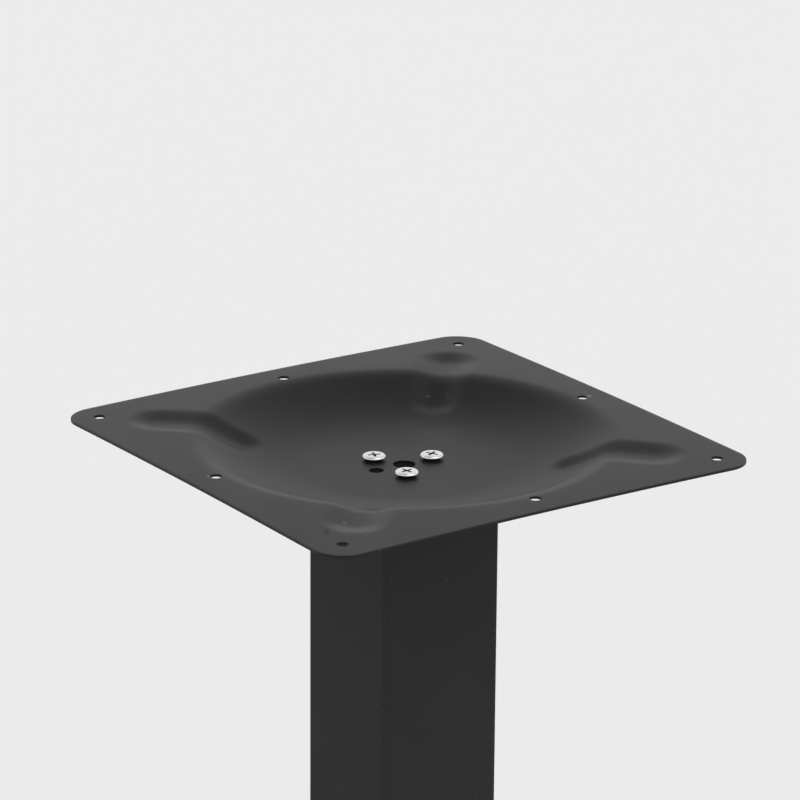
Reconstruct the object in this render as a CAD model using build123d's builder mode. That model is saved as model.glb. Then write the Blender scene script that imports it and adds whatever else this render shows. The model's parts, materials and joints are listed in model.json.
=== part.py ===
from build123d import *
from math import hypot, sqrt
import os

# Metal table leg: a pressed top plate on a square column with a square foot plate.
# Millimetres, +Z up, origin on the floor under the middle of the column.

# Whole leg
leg_height = 710.0

# Top plate: one pressed sheet
plate_size = 300.0
plate_corner_r = 20.0
sheet_t = 1.5
rim_hole_d = 7.0
rim_hole_inset = 18.0

# Round dish in the middle of the top plate
dish_depth = 18.0
dish_rim_inset = 20.5
dish_wall_run = 69.5
dish_rim_bend = 13.0
dish_straight = 1.5

# Four stiffening beads that run along the diagonals, from the rim down the dish wall
bead_depth = 3.0
bead_reach_in = 22.5
bead_reach_out = 19.5
bead_half_width = 21.0
bead_floor_half_width = 2.0

# Holes in the dish floor
centre_hole_d = 13.5
screw_circle_d = 40.0
screw_hole_d = 8.8

# Screws with a flat countersunk head and a cross recess
screw_d = 8.0
screw_head_d = 14.3
screw_head_land = 0.35
screw_head_chamfer = 0.15
screw_length = 20.0
screw_tip_chamfer = 1.0
recess_width = 7.6
recess_slot = 1.7
recess_depth = 2.6
recess_taper = 12.0
foot_screw_sink = 0.3

# Square column and the end plates welded in it
column_size = 83.0
column_wall = 2.0
column_corner_r = 4.0
end_plate_t = 8.0

# Foot plate
foot_size = 450.0
foot_t = 8.0
foot_corner_r = 20.0
foot_edge_chamfer = 1.0
foot_screw_inset = 16.0
levelling_inset = 35.0

# Levelling feet: a threaded stud with a hexagon that turns on a pad
pad_d = 34.0
pad_top_d = 26.0
pad_edge_h = 2.0
pad_t = 7.0
pad_edge_chamfer = 0.6
stud_d = 8.0
stud_hexagon_af = 13.0
stud_hexagon_t = 5.0
stud_button_d = 12.0
stud_button_t = 3.0
stud_grip = 7.5
stud_travel = 3.5
stud_stop_gap = 0.4

# Clearances
thread_fit = 0.05
turning_fit = 0.05
end_gap = 0.1

# Heights and lengths that follow from these
foot_z = pad_t + end_gap + stud_hexagon_t + stud_travel + stud_stop_gap
foot_top_z = foot_z + foot_t
dish_floor_z = leg_height - dish_depth
column_top_z = dish_floor_z - sheet_t
column_length = column_top_z - foot_top_z
column_inner_size = column_size - 2 * column_wall
column_inner_r = column_corner_r - column_wall
rim_hole_spacing = plate_size - 2 * rim_hole_inset
dish_rim_r = plate_size / 2 - dish_rim_inset
dish_floor_r = dish_rim_r - dish_wall_run
dish_floor_bend = dish_wall_run - dish_rim_bend - dish_straight
dish_slope = dish_depth / (dish_straight + (dish_rim_bend + dish_floor_bend) / 2)
bead_start = dish_rim_r - bead_reach_in
bead_end = dish_rim_r + bead_reach_out
foot_screw_spacing = column_inner_size - 2 * foot_screw_inset
levelling_spacing = foot_size - 2 * levelling_inset
screw_bore_r = screw_d / 2 + thread_fit
stud_bore_r = stud_d / 2 + thread_fit

os.makedirs("parts", exist_ok=True)


# Shape of the pressed sheet
def blend(u):
    """Rise from 0 to 1, level at both ends."""
    u = min(max(u, 0.0), 1.0)
    return u * u * (3 - 2 * u)


def dish_height(r):
    """Height of the dish: a wide bend up from the floor, a short slope and a tighter bend into the rim."""
    from_rim = max(0.0, dish_rim_r - r)
    from_floor = max(0.0, r - dish_floor_r)
    if from_rim < dish_rim_bend:
        return -dish_slope * from_rim**2 / (2 * dish_rim_bend)
    if from_floor < dish_floor_bend:
        return dish_slope * from_floor**2 / (2 * dish_floor_bend) - dish_depth
    return -dish_slope * (from_rim - dish_rim_bend / 2)


def sheet_height(x, y):
    """Height of the pressed top face over the flat rim."""
    along = (abs(x) + abs(y)) / sqrt(2)
    across = (abs(x) - abs(y)) / sqrt(2)
    past_end = max(0.0, bead_start - along, along - bead_end)
    from_middle = hypot(past_end, across)
    bead = blend((bead_half_width - from_middle) / (bead_half_width - bead_floor_half_width))
    return dish_height(hypot(x, y)) - bead_depth * bead


def control_heights(heights):
    """Push each height out by a sixth of the local bend, so that the curve passes at the height."""
    inner = range(1, len(heights) - 1)
    pushed = [heights[i] - (heights[i - 1] - 2 * heights[i] + heights[i + 1]) / 6 for i in inner]
    return [heights[0]] + pushed + [heights[-1]]


# Sections stand at even steps and run a little past the edge, where the sheet is trimmed.
station_step = 5.0
station_count = int(plate_size / 2 / station_step) + 1
stations = [station_step * i for i in range(-station_count, station_count + 1)]
knots = [stations[0]] * 4 + stations[2:-2] + [stations[-1]] * 4

# Half of the sheet is lofted through its sections and trimmed. The other half is its mirror image.
with BuildPart() as sheet_half:
    for x in stations[station_count:]:
        heights = control_heights([sheet_height(x, y) for y in stations])
        with BuildSketch(Plane(origin=(x, 0, leg_height), x_dir=(0, 1, 0), z_dir=(1, 0, 0))):
            with BuildLine():
                upper = BSpline(list(zip(stations, heights)), knots, 3)
                lower = BSpline([(y, h - sheet_t) for y, h in zip(stations, heights)], knots, 3)
                Line(upper @ 0, lower @ 0)
                Line(upper @ 1, lower @ 1)
            make_face()
    loft()
    with BuildSketch(Plane.XY.offset(dish_floor_z - dish_depth)):
        Rectangle(plate_size + 4 * station_step, plate_size + 4 * station_step)
        RectangleRounded(plate_size, plate_size, plate_corner_r, mode=Mode.SUBTRACT)
    extrude(amount=3 * dish_depth, mode=Mode.SUBTRACT)

with BuildPart() as top_plate:
    add(sheet_half.part)
    mirror(about=Plane.YZ)
    with BuildSketch(Plane.XY.offset(dish_floor_z - dish_depth)):
        # Eight rim holes: one in each corner and one in the middle of each side
        with GridLocations(rim_hole_spacing, rim_hole_spacing, 2, 2):
            Circle(rim_hole_d / 2)
        with PolarLocations(rim_hole_spacing / 2, 4):
            Circle(rim_hole_d / 2)
        # Holes in the dish floor: the middle one, three for the screws and a spare one
        Circle(centre_hole_d / 2)
        with PolarLocations(screw_circle_d / 2, 3):
            Circle(screw_hole_d / 2)
        with Locations((-screw_circle_d / 2, 0)):
            Circle(screw_hole_d / 2)
    extrude(amount=3 * dish_depth, mode=Mode.SUBTRACT)
top_plate.part.label = "top_plate"
export_step(top_plate.part, "parts/top_plate.step")


# Column: a square tube with rounded edges
with BuildPart() as column_tube:
    with BuildSketch(Plane.XY.offset(foot_top_z)):
        RectangleRounded(column_size, column_size, column_corner_r)
        RectangleRounded(column_inner_size, column_inner_size, column_inner_r, mode=Mode.SUBTRACT)
    extrude(amount=column_length)
column_tube.part.label = "column_tube"
export_step(column_tube.part, "parts/column_tube.step")

# Top end plate: tapped for the three screws, with the middle and spare holes carried through
with BuildPart() as column_top_plate:
    with BuildSketch(Plane.XY.offset(column_top_z - end_plate_t)):
        RectangleRounded(column_inner_size, column_inner_size, column_inner_r)
        Circle(centre_hole_d / 2, mode=Mode.SUBTRACT)
        with PolarLocations(screw_circle_d / 2, 3):
            Circle(screw_bore_r, mode=Mode.SUBTRACT)
        with Locations((-screw_circle_d / 2, 0)):
            Circle(screw_bore_r, mode=Mode.SUBTRACT)
    extrude(amount=end_plate_t)
column_top_plate.part.label = "column_top_plate"
export_step(column_top_plate.part, "parts/column_top_plate.step")

# Bottom end plate: tapped for the four foot screws
with BuildPart() as column_bottom_plate:
    with BuildSketch(Plane.XY.offset(foot_top_z)):
        RectangleRounded(column_inner_size, column_inner_size, column_inner_r)
        with GridLocations(foot_screw_spacing, foot_screw_spacing, 2, 2):
            Circle(screw_bore_r, mode=Mode.SUBTRACT)
    extrude(amount=end_plate_t)
column_bottom_plate.part.label = "column_bottom_plate"
export_step(column_bottom_plate.part, "parts/column_bottom_plate.step")


# Countersunk screw, drawn upright with the middle of its head's top at the origin
screw_cone_h = (screw_head_d - screw_d) / 2
with BuildPart() as screw:
    with BuildSketch(Plane.XZ):
        with BuildLine():
            Polyline(
                (0, 0),
                (screw_head_d / 2, 0),
                (screw_head_d / 2, -screw_head_land),
                (screw_d / 2, -screw_head_land - screw_cone_h),
                (screw_d / 2, screw_tip_chamfer - screw_length),
                (screw_d / 2 - screw_tip_chamfer, -screw_length),
                (0, -screw_length),
                close=True,
            )
        make_face()
    revolve(axis=Axis.Z)
    chamfer(screw.edges().sort_by(Axis.Z)[-1], screw_head_chamfer)
    # Cross recess: two tapered slots and the round middle where they meet
    with BuildSketch(Plane.XY):
        Rectangle(recess_width, recess_slot)
        Rectangle(recess_slot, recess_width)
        Circle(recess_slot)
    extrude(amount=-recess_depth, taper=recess_taper, mode=Mode.SUBTRACT)

# Top screws: their cones rest on the edges of the holes, so the heads stand proud of the sheet.
screw_head_rise = screw_head_land + (screw_head_d - screw_hole_d) / 2
top_screw_places = PolarLocations(screw_circle_d / 2, 3)
for number, place in enumerate(top_screw_places, start=1):
    with BuildPart() as top_screw:
        with Locations(Location((0, 0, dish_floor_z + screw_head_rise)) * place):
            add(screw.part)
    top_screw.part.label = f"top_screw_{number}"
    export_step(top_screw.part, f"parts/top_screw_{number}.step")


# Foot plate: countersunk from below for the foot screws, tapped in its corners for the studs
countersink_r = screw_head_d / 2 + screw_head_land + foot_screw_sink
with BuildPart() as foot_plate:
    with BuildSketch(Plane.XY.offset(foot_z)):
        RectangleRounded(foot_size, foot_size, foot_corner_r)
    extrude(amount=foot_t)
    chamfer(foot_plate.edges().group_by(Axis.Z)[-1], foot_edge_chamfer)
    with BuildSketch(Plane.XY.offset(foot_z)):
        with GridLocations(levelling_spacing, levelling_spacing, 2, 2):
            Circle(stud_bore_r)
    extrude(amount=foot_t, mode=Mode.SUBTRACT)
    with Locations(Plane(origin=(0, 0, foot_z), z_dir=(0, 0, -1))):
        with GridLocations(foot_screw_spacing, foot_screw_spacing, 2, 2):
            CounterSinkHole(screw_bore_r, countersink_r, depth=foot_t, counter_sink_angle=90)
foot_plate.part.label = "foot_plate"
export_step(foot_plate.part, "parts/foot_plate.step")

# Foot screws: the same screw the other way up, its head sunk in the foot plate
foot_screw_places = GridLocations(foot_screw_spacing, foot_screw_spacing, 2, 2)
for number, place in enumerate(foot_screw_places, start=1):
    with BuildPart() as foot_screw:
        with Locations(place * Location((0, 0, foot_z + foot_screw_sink), (180, 0, 0))):
            add(screw.part)
    foot_screw.part.label = f"foot_screw_{number}"
    export_step(foot_screw.part, f"parts/foot_screw_{number}.step")


# Pad of a levelling foot: a low cone with a socket for the button of the stud
with BuildPart() as pad:
    with BuildSketch(Plane.XZ):
        with BuildLine():
            Polyline(
                (0, 0),
                (pad_d / 2, 0),
                (pad_d / 2, pad_edge_h),
                (pad_top_d / 2, pad_t),
                (0, pad_t),
                close=True,
            )
        make_face()
    revolve(axis=Axis.Z)
    chamfer(pad.edges().sort_by(Axis.Z)[-1], pad_edge_chamfer)
    with BuildSketch(Plane.XY.offset(pad_t)):
        Circle(stud_button_d / 2 + turning_fit)
    extrude(amount=-(stud_button_t + end_gap), mode=Mode.SUBTRACT)

# Stud of a levelling foot: button, hexagon and threaded shank
stud_hexagon_z = pad_t + end_gap
with BuildPart() as stud:
    with BuildSketch(Plane.XY.offset(pad_t - stud_button_t)):
        Circle(stud_button_d / 2)
    extrude(amount=stud_button_t + end_gap)
    with BuildSketch(Plane.XY.offset(stud_hexagon_z)):
        RegularPolygon(stud_hexagon_af / 2, 6, major_radius=False)
    extrude(amount=stud_hexagon_t)
    with BuildSketch(Plane.XY.offset(stud_hexagon_z)):
        Circle(stud_d / 2)
    extrude(amount=foot_z + stud_grip - stud_hexagon_z)
    chamfer(stud.edges().sort_by(Axis.Z)[-1], screw_tip_chamfer)

# The four feet stand turned right out, so the foot plate is at its highest.
for number, place in enumerate(GridLocations(levelling_spacing, levelling_spacing, 2, 2), start=1):
    with BuildPart() as foot_pad:
        with Locations(place):
            add(pad.part)
    foot_pad.part.label = f"foot_pad_{number}"
    export_step(foot_pad.part, f"parts/foot_pad_{number}.step")
    with BuildPart() as foot_stud:
        with Locations(place):
            add(stud.part)
    foot_stud.part.label = f"foot_stud_{number}"
    export_step(foot_stud.part, f"parts/foot_stud_{number}.step")
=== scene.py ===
import json
from math import cos, hypot, pi, radians, sin, sqrt

import bmesh
import bpy
from mathutils import Matrix, Vector


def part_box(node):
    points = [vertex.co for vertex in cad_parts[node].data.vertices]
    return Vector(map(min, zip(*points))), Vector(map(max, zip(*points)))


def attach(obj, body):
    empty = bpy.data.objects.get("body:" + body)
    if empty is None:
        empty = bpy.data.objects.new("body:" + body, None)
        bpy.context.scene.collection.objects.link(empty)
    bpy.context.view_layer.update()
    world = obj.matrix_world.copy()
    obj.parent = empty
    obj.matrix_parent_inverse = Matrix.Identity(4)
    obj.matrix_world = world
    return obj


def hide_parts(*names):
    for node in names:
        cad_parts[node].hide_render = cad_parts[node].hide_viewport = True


# Metal table leg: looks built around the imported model. Metres, in the model's frame.
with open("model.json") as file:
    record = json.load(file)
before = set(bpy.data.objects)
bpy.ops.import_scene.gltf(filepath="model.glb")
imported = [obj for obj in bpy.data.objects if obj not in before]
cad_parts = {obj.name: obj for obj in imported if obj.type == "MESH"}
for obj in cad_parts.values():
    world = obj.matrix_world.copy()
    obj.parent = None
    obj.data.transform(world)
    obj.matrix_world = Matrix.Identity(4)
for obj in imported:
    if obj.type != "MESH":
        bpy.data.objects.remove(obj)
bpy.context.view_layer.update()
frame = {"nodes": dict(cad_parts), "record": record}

MM = 0.001


def linear(hex_colour):
    """Turns an sRGB hex colour into linear RGBA."""
    channels = [int(hex_colour[i:i + 2], 16) / 255 for i in (1, 3, 5)]
    return [c / 12.92 if c <= 0.04045 else ((c + 0.055) / 1.055) ** 2.4 for c in channels] + [1.0]


# Camera: long lens, looking down on a corner of the top plate
LENS_PX = 4299.85
IMAGE_PX = 800
YAW = radians(-34.505)
PITCH = radians(18.439)
ROLL = radians(0.409)
CAMERA_FROM_RIM = Vector((-1371.62, -1990.44, 828.28)) * MM
SENSOR_WIDTH_MM = 36.0
CLIP_END = 50.0


def make_camera(rim_z):
    ahead = Vector((-sin(YAW) * cos(PITCH), cos(YAW) * cos(PITCH), -sin(PITCH)))
    level_right = Vector((cos(YAW), sin(YAW), 0))
    level_up = level_right.cross(ahead)
    right = cos(ROLL) * level_right + sin(ROLL) * level_up
    up = cos(ROLL) * level_up - sin(ROLL) * level_right
    data = bpy.data.cameras.new("camera")
    data.sensor_width = SENSOR_WIDTH_MM
    data.lens = LENS_PX / IMAGE_PX * SENSOR_WIDTH_MM
    data.clip_end = CLIP_END
    camera = bpy.data.objects.new("camera", data)
    bpy.context.collection.objects.link(camera)
    turn = Matrix((right, up, -ahead)).transposed()
    camera.matrix_world = Matrix.Translation(CAMERA_FROM_RIM + Vector((0, 0, rim_z))) @ turn.to_4x4()
    bpy.context.scene.camera = camera


# Material trees
def add_node(tree, kind, values=(), links=(), **settings):
    """Adds a node, sets its properties and socket values, and links sockets to earlier outputs."""
    made = tree.nodes.new(kind)
    for name, value in settings.items():
        setattr(made, name, value)
    for socket, value in dict(values).items():
        made.inputs[socket].default_value = value
    for socket, output in dict(links).items():
        tree.links.new(output, made.inputs[socket])
    return made


def new_material(name):
    material = bpy.data.materials.new(name)
    material.use_nodes = True
    material.node_tree.nodes.clear()
    return material, material.node_tree


def per_metre(size_mm):
    """Pattern scale that makes one feature the given size."""
    return 1.0 / (size_mm * MM)


def black_powder_coat(name, dark, pale, smooth, rough, gloss):
    """Black powder coat on steel, baked on as a fine skin: soft broad sheen, tiny pebble grain, a
    little unevenness from place to place and a few pale specks of dust."""
    material, tree = new_material(name)
    place = add_node(tree, "ShaderNodeTexCoord").outputs["Object"]
    # Grain of about 0.35 mm, drawn at 0.9 mm so that it shows at this distance
    grain = add_node(tree, "ShaderNodeTexNoise", {"Scale": per_metre(0.9), "Detail": 3.0, "Roughness": 0.6},
                     {"Vector": place})
    # Slow unevenness of the skin, over a few centimetres
    drift = add_node(tree, "ShaderNodeTexNoise", {"Scale": per_metre(45.0), "Detail": 2.0},
                     {"Vector": place})
    colour = add_node(tree, "ShaderNodeValToRGB", (), {"Fac": drift.outputs["Fac"]})
    colour.color_ramp.elements[0].color = linear(dark)
    colour.color_ramp.elements[1].color = linear(pale)
    # Dust: sparse specks about 0.8 mm across, one cell in every 9 mm
    cells = add_node(tree, "ShaderNodeTexVoronoi", {"Scale": per_metre(9.0)}, {"Vector": place})
    speck = add_node(tree, "ShaderNodeMath", {1: 0.045}, {0: cells.outputs["Distance"]},
                     operation="LESS_THAN")
    dusty = add_node(tree, "ShaderNodeMix", {"B": linear("#4a4a4a")},
                     {"Factor": speck.outputs[0], "A": colour.outputs["Color"]}, data_type="RGBA")
    sheen = add_node(tree, "ShaderNodeMapRange", {"To Min": smooth, "To Max": rough},
                     {"Value": drift.outputs["Fac"]})
    bump = add_node(tree, "ShaderNodeBump", {"Strength": 0.12, "Distance": 0.05 * MM},
                    {"Height": grain.outputs["Fac"]})
    shader = add_node(tree, "ShaderNodeBsdfPrincipled", {"IOR": 1.5, "Specular IOR Level": gloss},
                      {"Base Color": dusty.outputs["Result"], "Roughness": sheen.outputs["Result"],
                       "Normal": bump.outputs["Normal"]})
    add_node(tree, "ShaderNodeOutputMaterial", (), {"Surface": shader.outputs["BSDF"]})
    return material


# Small marks in the coat of the top plate, all lying the same way: middle, half width and half
# length in mm, and what the mark does to the roughness or the colour
MARKS_TURN = radians(-34.5)
RUBBED_SPOT = ((-128.8, -111.0), 2.9, 8.1, 0.134)
# The first two pale flecks are dust; the last two, beside the side rim holes, are painted glints
DUST_FLECKS_AND_PAINTED_GLINTS = (((72.0, 79.1), 2.26, 1.55, "#383838"), ((-108.9, -99.4), 2.12, 3.53, "#424242"),
          ((136.6, 0.1), 2.96, 3.25, "#626262"), ((-135.7, 2.6), 1.83, 2.54, "#555555"))
# So long upwards that the height of the sheet doesn't count
MARKS_HEIGHT = 1000.0


def mark_mask(tree, place, middle, half_width, half_length):
    """Mask of one soft oval mark: 1 in its middle, 0 past its edge, whatever the height."""
    local = add_node(tree, "ShaderNodeMapping",
                     {"Location": (middle[0] * MM, middle[1] * MM, 0), "Rotation": (0, 0, MARKS_TURN),
                      "Scale": (half_width * MM, half_length * MM, MARKS_HEIGHT)},
                     {"Vector": place}, vector_type="TEXTURE")
    reach = add_node(tree, "ShaderNodeVectorMath", (), {0: local.outputs["Vector"]}, operation="LENGTH")
    mask = add_node(tree, "ShaderNodeMapRange", {"From Min": 1.0, "From Max": 0.0},
                    {"Value": reach.outputs["Value"]}, interpolation_type="SMOOTHSTEP")
    return mask.outputs["Result"]


def add_marks(material):
    """A rubbed dull spot by the front corner, and pale flecks: two of dust, and two beside rim holes that
    are painted glints.
    """
    tree = material.node_tree
    shader = next(n for n in tree.nodes if n.type == "BSDF_PRINCIPLED")
    place = next(n for n in tree.nodes if n.type == "TEX_COORD").outputs["Object"]
    colour = shader.inputs["Base Color"].links[0].from_socket
    for middle, half_width, half_length, pale in DUST_FLECKS_AND_PAINTED_GLINTS:
        dust_fleck_or_painted_glint = mark_mask(tree, place, middle, half_width, half_length)
        mixed = add_node(tree, "ShaderNodeMix", {"B": linear(pale)}, {"Factor": dust_fleck_or_painted_glint, "A": colour},
                         data_type="RGBA")
        colour = mixed.outputs["Result"]
    tree.links.new(colour, shader.inputs["Base Color"])
    middle, half_width, half_length, rougher = RUBBED_SPOT
    rubbed = mark_mask(tree, place, middle, half_width, half_length)
    before = shader.inputs["Roughness"].links[0].from_socket
    dull = add_node(tree, "ShaderNodeMath", {1: rougher}, {0: rubbed, 2: before}, operation="MULTIPLY_ADD")
    tree.links.new(dull.outputs[0], shader.inputs["Roughness"])


def bright_zinc_plate():
    """Steel with bright zinc plating: silvery, with soft smeared reflections and faint cloudy spots."""
    material, tree = new_material("bright_zinc_plate_on_steel")
    place = add_node(tree, "ShaderNodeTexCoord").outputs["Object"]
    # Cloudiness of the plating, about 2 mm
    cloud = add_node(tree, "ShaderNodeTexNoise", {"Scale": per_metre(2.0), "Detail": 3.0},
                     {"Vector": place})
    colour = add_node(tree, "ShaderNodeValToRGB", (), {"Fac": cloud.outputs["Fac"]})
    colour.color_ramp.elements[0].color = linear("#d2d4d6")
    colour.color_ramp.elements[1].color = linear("#dfdfde")
    rough = add_node(tree, "ShaderNodeMapRange", {"To Min": 0.2, "To Max": 0.34},
                     {"Value": cloud.outputs["Fac"]})
    bump = add_node(tree, "ShaderNodeBump", {"Strength": 0.05, "Distance": 0.02 * MM},
                    {"Height": cloud.outputs["Fac"]})
    shader = add_node(tree, "ShaderNodeBsdfPrincipled", {"Metallic": 1.0},
                      {"Base Color": colour.outputs["Color"], "Roughness": rough.outputs["Result"],
                       "Normal": bump.outputs["Normal"]})
    add_node(tree, "ShaderNodeOutputMaterial", (), {"Surface": shader.outputs["BSDF"]})
    return material


def recess_zinc_with_painted_shade():
    """Zinc down in a recess, where the bath hardly reaches: thin and dull, and dark grey as painted shade.
    """
    material, tree = new_material("thin_zinc_plate_in_recess")
    place = add_node(tree, "ShaderNodeTexCoord").outputs["Object"]
    # Patches of about 0.8 mm in the painted shade and the dullness
    patch = add_node(tree, "ShaderNodeTexNoise", {"Scale": per_metre(0.8), "Detail": 2.0},
                     {"Vector": place})
    colour = add_node(tree, "ShaderNodeValToRGB", (), {"Fac": patch.outputs["Fac"]})
    colour.color_ramp.elements[0].color = linear("#3e3f40")
    colour.color_ramp.elements[1].color = linear("#7a7b7c")
    rough = add_node(tree, "ShaderNodeMapRange", {"To Min": 0.45, "To Max": 0.6},
                     {"Value": patch.outputs["Fac"]})
    shader = add_node(tree, "ShaderNodeBsdfPrincipled", {"Metallic": 1.0},
                      {"Base Color": colour.outputs["Color"], "Roughness": rough.outputs["Result"]})
    add_node(tree, "ShaderNodeOutputMaterial", (), {"Surface": shader.outputs["BSDF"]})
    return material


def black_polyamide():
    """Black moulded polyamide: dull, slightly greasy sheen with a fine spark-eroded grain."""
    material, tree = new_material("black_moulded_polyamide")
    place = add_node(tree, "ShaderNodeTexCoord").outputs["Object"]
    # Grain of the mould, about 0.5 mm
    grain = add_node(tree, "ShaderNodeTexNoise", {"Scale": per_metre(0.5), "Detail": 2.0},
                     {"Vector": place})
    rough = add_node(tree, "ShaderNodeMapRange", {"To Min": 0.5, "To Max": 0.62},
                     {"Value": grain.outputs["Fac"]})
    bump = add_node(tree, "ShaderNodeBump", {"Strength": 0.3, "Distance": 0.05 * MM},
                    {"Height": grain.outputs["Fac"]})
    shader = add_node(tree, "ShaderNodeBsdfPrincipled", {"Base Color": linear("#1c1c1d"), "IOR": 1.53},
                      {"Roughness": rough.outputs["Result"], "Normal": bump.outputs["Normal"]})
    add_node(tree, "ShaderNodeOutputMaterial", (), {"Surface": shader.outputs["BSDF"]})
    return material


# Meshes: an edge that turns by more than this stays sharp
SHARP_FROM = radians(38)


def mesh_object(name, verts, faces):
    mesh = bpy.data.meshes.new(name)
    mesh.from_pydata(verts, [], faces)
    made = bpy.data.objects.new(name, mesh)
    bpy.context.collection.objects.link(made)
    return made


def finish_piece(piece, body, materials, replaced):
    """Shades a piece smooth up to its real edges, dresses it, and gives it to its body."""
    bm = bmesh.new()
    bm.from_mesh(piece.data)
    bmesh.ops.recalc_face_normals(bm, faces=bm.faces[:])
    bm.to_mesh(piece.data)
    bm.free()
    piece.data.shade_smooth()
    piece.data.set_sharp_from_angle(angle=SHARP_FROM)
    for material in materials:
        piece.data.materials.append(material)
    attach(piece, body)
    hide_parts(replaced)


def cut(piece, tool, operation):
    """Cuts one mesh with another and deletes the tool."""
    modifier = piece.modifiers.new("cut", "BOOLEAN")
    modifier.object = tool
    modifier.operation = operation
    modifier.solver = "EXACT"
    graph = bpy.context.evaluated_depsgraph_get()
    cut_mesh = bpy.data.meshes.new_from_object(piece.evaluated_get(graph))
    piece.modifiers.clear()
    old = piece.data
    piece.data = cut_mesh
    bpy.data.meshes.remove(old)
    bpy.data.objects.remove(tool)


def prisms(name, outlines, low, high):
    """Closed upright prisms over flat outlines, as one mesh."""
    verts, faces = [], []
    for outline in outlines:
        start, count = len(verts), len(outline)
        verts += [(x, y, low) for x, y in outline] + [(x, y, high) for x, y in outline]
        faces.append([start + i for i in reversed(range(count))])
        faces.append([start + count + i for i in range(count)])
        for i in range(count):
            j = (i + 1) % count
            faces.append([start + i, start + j, start + count + j, start + count + i])
    return mesh_object(name, verts, faces)


def circle(centre, radius, count):
    return [(centre[0] + radius * cos(2 * pi * i / count), centre[1] + radius * sin(2 * pi * i / count))
            for i in range(count)]


def lathe(profile, count):
    """Turns a closed profile of (radius, height), from axis to axis, round the Z axis. Returns the
    vertices and faces of its mesh."""
    verts, faces, rings = [], [], []
    for radius, height in profile:
        if radius == 0:
            rings.append([len(verts)] * count)
            verts.append((0, 0, height))
        else:
            rings.append(list(range(len(verts), len(verts) + count)))
            verts += [(x, y, height) for x, y in circle((0, 0), radius, count)]
    for lower, upper in zip(rings, rings[1:]):
        for i in range(count):
            j = (i + 1) % count
            corners = [lower[i], lower[j], upper[j], upper[i]]
            faces.append(list(dict.fromkeys(corners)))
    return verts, faces


# Top plate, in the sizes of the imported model. Its beads run from BEAD_START to BEAD_END, measured
# along the diagonals from the middle.
PLATE_SIZE = 300 * MM
PLATE_CORNER_R = 20 * MM
SHEET_T = 1.5 * MM
DISH_DEPTH = 18 * MM
DISH_RIM_R = 129.5 * MM
DISH_RIM_BEND = 13 * MM
DISH_FLOOR_R = 60 * MM
DISH_FLOOR_BEND = 55 * MM
BEAD_DEPTH = 3.0 * MM
BEAD_START = 100 * MM
BEAD_INNER_STEEPNESS = 1.4
BEAD_INNER_NARROWING = 0.2
BEAD_END = 149 * MM
BEAD_HALF_WIDTH = 21 * MM
BEAD_FLOOR_HALF_WIDTH = 2 * MM
RIM_DROOP_SLOPE = 0.02
RIM_DROOP_BEND = 10 * MM
RIM_HOLE_R = 3.5 * MM
RIM_HOLE_AT = 132 * MM
RIM_HOLE_SIDES = ((1, 1), (-1, 1), (-1, -1), (1, -1), (1, 0), (0, 1), (-1, 0), (0, -1))
CENTRE_HOLE_R = 6.75 * MM
SCREW_HOLE_R = 4.4 * MM
SCREW_CIRCLE_R = 20 * MM
SCREW_HOLE_TURNS = (0, 120, 180, 240)
SHEET_EDGE_R = 0.3 * MM
SHEET_EDGE_ANGLE = radians(60)
GRID_STEP = 2 * MM
CUT_REACH = 10 * MM
SAME_POINT = 1e-6


def blend(u):
    """Soft step from 0 to 1."""
    u = min(max(u, 0.0), 1.0)
    return u * u * (3 - 2 * u)


def dish_height(r):
    """The dish wall: a wide bend up from the floor, a straight slope and a tighter bend into the rim."""
    slope = DISH_DEPTH / (DISH_RIM_R - DISH_FLOOR_R - (DISH_RIM_BEND + DISH_FLOOR_BEND) / 2)
    from_rim = max(0.0, DISH_RIM_R - r)
    from_floor = max(0.0, r - DISH_FLOOR_R)
    if from_rim < DISH_RIM_BEND:
        return -slope * from_rim ** 2 / (2 * DISH_RIM_BEND)
    if from_floor < DISH_FLOOR_BEND:
        return slope * from_floor ** 2 / (2 * DISH_FLOOR_BEND) - DISH_DEPTH
    return -slope * (from_rim - DISH_RIM_BEND / 2)


def rim_droop(r):
    """The rim isn't quite flat: from the dish outwards it falls away, most at the corners."""
    outside = max(0.0, r - DISH_RIM_R)
    if outside < RIM_DROOP_BEND:
        return RIM_DROOP_SLOPE * outside ** 2 / (2 * RIM_DROOP_BEND)
    return RIM_DROOP_SLOPE * (outside - RIM_DROOP_BEND / 2)


def sheet_height(x, y):
    """Height of the pressed face over the flat rim. Four beads lie along the diagonals, a little
    narrower and steeper at their inner ends."""
    along = (abs(x) + abs(y)) / sqrt(2)
    across = (abs(x) - abs(y)) / sqrt(2)
    across *= 1 + BEAD_INNER_NARROWING * blend((DISH_RIM_R - along) / (DISH_RIM_R - BEAD_START))
    past_end = max(0.0, (BEAD_START - along) * BEAD_INNER_STEEPNESS, along - BEAD_END)
    bead = blend((BEAD_HALF_WIDTH - hypot(past_end, across)) / (BEAD_HALF_WIDTH - BEAD_FLOOR_HALF_WIDTH))
    return dish_height(hypot(x, y)) - BEAD_DEPTH * bead - rim_droop(hypot(x, y))


def rounded_square(size, corner_r, steps):
    """Outline of a square with rounded corners, each corner in so many steps."""
    flat = size / 2 - corner_r
    outline = []
    for quarter, (sx, sy) in enumerate(((1, 1), (-1, 1), (-1, -1), (1, -1))):
        for i in range(steps + 1):
            turn = (quarter + i / steps) * pi / 2
            outline.append((sx * flat + corner_r * cos(turn), sy * flat + corner_r * sin(turn)))
    return outline


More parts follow.
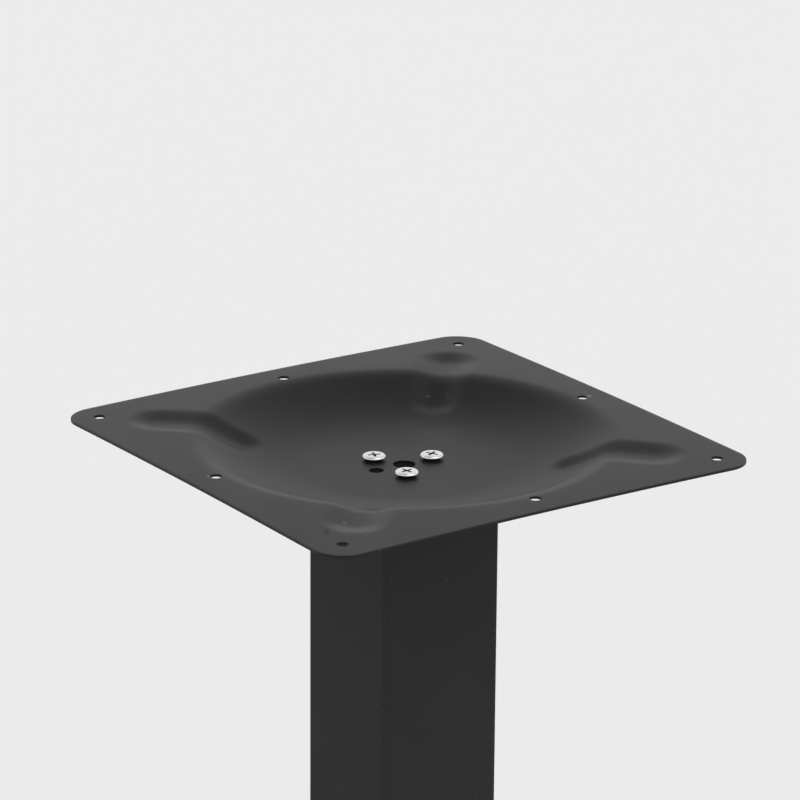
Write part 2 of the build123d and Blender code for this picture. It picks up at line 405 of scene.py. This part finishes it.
def pressed_plate(rim_z):
    """The sheet is laid out flat on a fine grid, cut to its outline and holes, has its edges
    rounded, and is then pressed to shape point by point."""
    cells = round(PLATE_SIZE / GRID_STEP) + 2
    row = cells + 1
    verts, faces = [], []
    for z in (0.0, -SHEET_T):
        for j in range(row):
            for i in range(row):
                verts.append(((i - cells / 2) * GRID_STEP, (j - cells / 2) * GRID_STEP, z))
    below = row * row
    for j in range(cells):
        for i in range(cells):
            a = j * row + i
            faces.append([a, a + 1, a + row + 1, a + row])
            faces.append([a + below, a + below + row, a + below + row + 1, a + below + 1])
    rim = ([(i, 0) for i in range(cells)] + [(cells, j) for j in range(cells)]
           + [(i, cells) for i in range(cells, 0, -1)] + [(0, j) for j in range(cells, 0, -1)])
    rim = [j * row + i for i, j in rim]
    for a, b in zip(rim, rim[1:] + rim[:1]):
        faces.append([b, a, a + below, b + below])
    plate = mesh_object("top_plate_pressed_sheet", verts, faces)
    outline = rounded_square(PLATE_SIZE, PLATE_CORNER_R, 16)
    cut(plate, prisms("outline", [outline], -CUT_REACH, CUT_REACH), "INTERSECT")
    holes = [circle((x * RIM_HOLE_AT, y * RIM_HOLE_AT), RIM_HOLE_R, 32) for x, y in RIM_HOLE_SIDES]
    holes.append(circle((0, 0), CENTRE_HOLE_R, 48))
    for turn in SCREW_HOLE_TURNS:
        centre = (SCREW_CIRCLE_R * cos(radians(turn)), SCREW_CIRCLE_R * sin(radians(turn)))
        holes.append(circle(centre, SCREW_HOLE_R, 40))
    cut(plate, prisms("holes", holes, -CUT_REACH, CUT_REACH), "DIFFERENCE")
    bm = bmesh.new()
    bm.from_mesh(plate.data)
    bmesh.ops.remove_doubles(bm, verts=bm.verts[:], dist=SAME_POINT)
    sharp = [e for e in bm.edges if len(e.link_faces) == 2 and e.calc_face_angle() > SHEET_EDGE_ANGLE]
    bmesh.ops.bevel(bm, geom=sharp, offset=SHEET_EDGE_R, segments=2, profile=0.5, affect="EDGES",
                    clamp_overlap=True)
    for vert in bm.verts:
        vert.co.z += rim_z + sheet_height(vert.co.x, vert.co.y)
    bm.to_mesh(plate.data)
    bm.free()
    return plate


# Screws and studs. The thread's half width is a share of its pitch.
SCREW_D = 8 * MM
SCREW_HEAD_D = 14.3 * MM
SCREW_LAND = 0.35 * MM
SCREW_LENGTH = 20 * MM
SHANK_R = SCREW_D / 2 - 0.01 * MM
THREAD_PITCH = 1.25 * MM
THREAD_DEPTH = 0.65 * MM
THREAD_HALF_WIDTH = 0.42
THREAD_TURN_STEPS = 32
THREAD_RINGS_PER_TURN = 6
THREAD_RUNOUT = 0.8 * MM
TIP_LENGTH = 1.2 * MM
TIP_TAPER = 0.9 * MM

# Cross recess: two crossed pairs of wings round a tapered socket, all cut from just over the head
RECESS_LIFT = 0.3 * MM
WING_HALF_LENGTH = 3.9 * MM
WING_HALF_WIDTH = 0.85 * MM
WING_DEPTH = 2.6 * MM
WING_END_SLOPE = 0.924
WING_SIDE_SLOPE = 0.189
SOCKET_DEPTH = 3.3 * MM
SOCKET_PROFILE = [(0, RECESS_LIFT), (2.1 * MM, RECESS_LIFT), (1.15 * MM, -2.9 * MM), (0, -SOCKET_DEPTH)]


def threaded_shank(top, bottom):
    """Closed rod with a right-hand thread cut in it, tapered out at both ends."""
    rings = max(8, round((top - bottom) / THREAD_PITCH * THREAD_RINGS_PER_TURN))
    count = THREAD_TURN_STEPS
    verts, faces = [], []
    for k in range(rings + 1):
        z = top + (bottom - top) * k / rings
        tip = min(1.0, (z - bottom) / TIP_LENGTH)
        root = min(1.0, (top - z) / THREAD_RUNOUT)
        for i in range(count):
            phase = (z / THREAD_PITCH - i / count) % 1.0
            notch = max(0.0, 1 - abs(phase - 0.5) / THREAD_HALF_WIDTH)
            r = SHANK_R - THREAD_DEPTH * notch * root - (1 - tip) * TIP_TAPER * (1 - notch)
            verts.append((r * cos(2 * pi * i / count), r * sin(2 * pi * i / count), z))
    for k in range(rings):
        for i in range(count):
            j = (i + 1) % count
            faces.append([k * count + i, k * count + j, (k + 1) * count + j, (k + 1) * count + i])
    faces.append(list(range(count)))
    faces.append([rings * count + i for i in reversed(range(count))])
    return verts, faces


def recess_wings():
    """One pair of wings: a bar that narrows downwards."""
    verts = []
    for z in (RECESS_LIFT, -WING_DEPTH):
        half_length = WING_HALF_LENGTH + WING_END_SLOPE * z
        half_width = WING_HALF_WIDTH + WING_SIDE_SLOPE * z
        verts += [(sx * half_length, sy * half_width, z) for sx, sy in ((1, 1), (-1, 1), (-1, -1), (1, -1))]
    faces = [[0, 1, 2, 3], [7, 6, 5, 4]] + [[i, i + 4, (i + 1) % 4 + 4, (i + 1) % 4] for i in range(4)]
    return verts, faces


def countersunk_screw():
    """Screw with its head's top at the origin: flat head with a rolled edge and a cross recess."""
    r = SCREW_HEAD_D / 2
    under_head = -SCREW_LAND - (r - SCREW_D / 2)
    neck = under_head - 0.6 * MM
    profile = [(0, 0.0), (r - 1.25 * MM, 0.0), (r - 0.92 * MM, -0.06 * MM), (r - 0.6 * MM, -0.22 * MM),
               (r - 0.3 * MM, -0.5 * MM), (r - 0.1 * MM, -0.82 * MM), (r, -1.1 * MM),
               (r - 0.06 * MM, -1.2 * MM), (SCREW_D / 2, under_head), (SCREW_D / 2 - 0.02 * MM, neck),
               (0, neck)]
    head = mesh_object("screw_head", *lathe(profile, 56))
    verts, faces = recess_wings()
    for turn in (0, 90):
        spun = [Matrix.Rotation(radians(turn), 3, "Z") @ Vector(v) for v in verts]
        cut(head, mesh_object("wings", spun, faces), "DIFFERENCE")
    cut(head, mesh_object("socket", *lathe(SOCKET_PROFILE, 24)), "DIFFERENCE")
    # The walls of the recess, well inside the cone of the head, take the second material: zinc painted dark
    # grey as shade
    for face in head.data.polygons:
        middle = face.center
        within_cone = hypot(middle.x, middle.y) < r + middle.z - 1.4 * MM
        if -SOCKET_DEPTH < middle.z < -0.1 * MM and within_cone:
            face.material_index = 1
    shank = mesh_object("screw_shank", *threaded_shank(neck + 0.3 * MM, -SCREW_LENGTH))
    cut(head, shank, "UNION")
    return head


def place_copy(source, name, place):
    made = bpy.data.objects.new(name, source.data.copy())
    made.data.transform(place)
    bpy.context.collection.objects.link(made)
    return made


def node_ends(name):
    """Middles of the lower and the upper end of a node."""
    low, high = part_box(name)
    middle = (low + high) / 2
    return Vector((middle.x, middle.y, low.z)), Vector((middle.x, middle.y, high.z))


# Levelling feet. Heights count from the underside of the button.
BUTTON_R = 6 * MM
HEXAGON_LOW = 3.1 * MM
HEXAGON_HIGH = 8.1 * MM
HEXAGON_ACROSS_FLATS = 13 * MM
HEXAGON_CHAMFER = 0.75 * MM
HEXAGON_FACE_R = 6.5 * MM
PAD_GRIPS = 24
PAD_GRIP_DEPTH = 0.35 * MM


def levelling_stud(height):
    """Stud standing on its button: round button, chamfered hexagon, threaded shank."""
    button_top = HEXAGON_LOW + 0.5 * MM
    body = mesh_object("stud", *lathe([(0, 0), (BUTTON_R - 0.4 * MM, 0), (BUTTON_R, 0.4 * MM),
                                       (BUTTON_R, button_top), (0, button_top)], 48))
    corner_r = HEXAGON_ACROSS_FLATS / cos(radians(30)) / 2
    outline = [(corner_r * cos(radians(60 * i + 30)), corner_r * sin(radians(60 * i + 30)))
               for i in range(6)]
    hexagon = prisms("hexagon", [outline], HEXAGON_LOW, HEXAGON_HIGH)
    low, high, past = HEXAGON_LOW - 0.01 * MM, HEXAGON_HIGH + 0.01 * MM, corner_r + 0.3 * MM
    chamfer = lathe([(0, low), (HEXAGON_FACE_R, low), (past, HEXAGON_LOW + HEXAGON_CHAMFER),
                     (past, HEXAGON_HIGH - HEXAGON_CHAMFER), (HEXAGON_FACE_R, high), (0, high)], 64)
    cut(hexagon, mesh_object("chamfer", *chamfer), "INTERSECT")
    cut(body, hexagon, "UNION")
    shank = mesh_object("shank", *threaded_shank(height, HEXAGON_HIGH - 0.6 * MM))
    cut(body, shank, "UNION")
    return body


def levelling_pad():
    """Moulded pad: rounded edge, sloping top with shallow grip notches, socket for the button."""
    profile = [(0, 0), (15.8 * MM, 0), (16.5 * MM, 0.15 * MM), (16.9 * MM, 0.5 * MM), (17 * MM, 1.1 * MM),
               (16.95 * MM, 1.7 * MM), (16.7 * MM, 2.3 * MM), (13.6 * MM, 6.2 * MM), (13.2 * MM, 6.65 * MM),
               (12.7 * MM, 6.9 * MM), (12.1 * MM, 7 * MM), (6.4 * MM, 7 * MM), (6.12 * MM, 6.9 * MM),
               (6.06 * MM, 6.6 * MM), (6.06 * MM, 3.9 * MM), (0, 3.9 * MM)]
    verts, faces = lathe(profile, 96)
    shaped = []
    for x, y, z in verts:
        r = hypot(x, y)
        if r > 11 * MM and z > 0.4 * MM:
            ripple = 0.5 + 0.5 * cos(PAD_GRIPS * Vector((x, y)).angle_signed(Vector((1, 0)), 0.0))
            shrink = 1 - PAD_GRIP_DEPTH * ripple ** 6 / r
            x, y = x * shrink, y * shrink
        shaped.append((x, y, z))
    return mesh_object("pad", shaped, faces)


# Build
rim_z = next(m["pos_m"][2] for m in frame["record"]["mounts"] if m["name"] == "rim_corner_holes")
make_camera(rim_z)

# Semi-matt coat on the pressed plate, duller coat on the column and foot
plate_coat = black_powder_coat("semi_matt_black_powder_coat_on_steel", "#101010", "#161616",
                               0.42, 0.48, 0.21)
add_marks(plate_coat)
column_coat = black_powder_coat("matt_black_powder_coat_on_steel", "#282828", "#2e2e2e",
                                0.7, 0.78, 0.1)
zinc = bright_zinc_plate()
# Zinc for the cross recesses, painted dark grey as their shade
recess_zinc_painted_shade = recess_zinc_with_painted_shade()
polyamide = black_polyamide()

for node in ("column_tube", "column_top_plate", "column_bottom_plate", "foot_plate"):
    carried = frame["nodes"][node]
    carried.data.materials.clear()
    carried.data.materials.append(column_coat)

finish_piece(pressed_plate(rim_z), "leg", [plate_coat], "top_plate")

# Each screw stopped where it was tight, so every recess lies at its own turn
TOP_SCREW_TURNS = {"top_screw_1": 26, "top_screw_2": 71, "top_screw_3": 8}
FOOT_SCREW_TURNS = {"foot_screw_1": 12, "foot_screw_2": 57, "foot_screw_3": 33, "foot_screw_4": 80}
HEAD_DOWN = Matrix.Rotation(pi, 4, "X")


def place_screw(node, place, turn):
    made = place_copy(screw, node + "_cross_recess", place @ Matrix.Rotation(radians(turn), 4, "Z"))
    finish_piece(made, "leg", [zinc, recess_zinc_painted_shade], node)


screw = countersunk_screw()
for node, turn in TOP_SCREW_TURNS.items():
    place_screw(node, Matrix.Translation(node_ends(node)[1]), turn)
for node, turn in FOOT_SCREW_TURNS.items():
    place_screw(node, Matrix.Translation(node_ends(node)[0]) @ HEAD_DOWN, turn)
bpy.data.objects.remove(screw)

pad = levelling_pad()
for number in (1, 2, 3, 4):
    node = f"foot_stud_{number}"
    foot, top = node_ends(node)
    stud = levelling_stud(top.z - foot.z)
    stud.data.transform(Matrix.Translation(foot))
    stud.name = node + "_threaded"
    finish_piece(stud, f"stud_{number}", [zinc], node)
    node = f"foot_pad_{number}"
    moulded = place_copy(pad, node + "_moulded", Matrix.Translation(node_ends(node)[0]))
    finish_piece(moulded, f"pad_{number}", [polyamide], node)
bpy.data.objects.remove(pad)


# Studio: pale floor and surroundings, one wide soft light from above
BACKGROUND = "#ebebeb"
FLOOR_R = 30.0
FLOOR_BELOW = 0.2 * MM
LIGHT_COMES_FROM = Vector((0.25, -0.45, 1.0))
LIGHT_STRENGTH = 0.84
LIGHT_SPREAD = radians(50)
# Level of the surroundings against the height of a direction, 0 level and 1 straight up
SKY_LEVELS = ((0.0, 1.20), (0.15, 1.35), (0.3, 1.05), (0.55, 0.93), (1.0, 0.40))


def pale_floor():
    """Plain matt floor, a hair below the pads."""
    material, tree = new_material("pale_studio_floor")
    shader = add_node(tree, "ShaderNodeBsdfPrincipled",
                      {"Base Color": linear(BACKGROUND), "Roughness": 0.9, "Specular IOR Level": 0.1})
    add_node(tree, "ShaderNodeOutputMaterial", (), {"Surface": shader.outputs["BSDF"]})
    floor = mesh_object("studio_floor", *lathe([(0, 0), (FLOOR_R, 0)], 96))
    floor.location.z = -FLOOR_BELOW
    floor.data.materials.append(material)


def pale_surroundings():
    """Pale all round, brightest near the horizon and greyer overhead."""
    world = bpy.data.worlds.new("studio")
    world.use_nodes = True
    tree = world.node_tree
    tree.nodes.clear()
    direction = add_node(tree, "ShaderNodeTexCoord").outputs["Generated"]
    height = add_node(tree, "ShaderNodeSeparateXYZ", (), {"Vector": direction}).outputs["Z"]
    brightest = max(level for _, level in SKY_LEVELS)
    ramp = add_node(tree, "ShaderNodeValToRGB", (), {"Fac": height})
    while len(ramp.color_ramp.elements) < len(SKY_LEVELS):
        ramp.color_ramp.elements.new(0.5)
    for stop, (at, level) in zip(ramp.color_ramp.elements, SKY_LEVELS):
        share = level / brightest
        stop.position = at
        stop.color = (share, share, share, 1.0)
    sky = add_node(tree, "ShaderNodeBackground", {"Strength": brightest}, {"Color": ramp.outputs["Color"]})
    add_node(tree, "ShaderNodeOutputWorld", (), {"Surface": sky.outputs["Background"]})
    bpy.context.scene.world = world


def wide_soft_light():
    """Even light over the whole floor, from one wide patch of sky."""
    data = bpy.data.lights.new("wide_soft_light", "SUN")
    data.energy = LIGHT_STRENGTH
    data.angle = LIGHT_SPREAD
    light = bpy.data.objects.new("wide_soft_light", data)
    light.rotation_euler = LIGHT_COMES_FROM.to_track_quat("Z", "Y").to_euler()
    bpy.context.collection.objects.link(light)


pale_surroundings()
pale_floor()
wide_soft_light()

bpy.context.scene.view_settings.view_transform = "Standard"
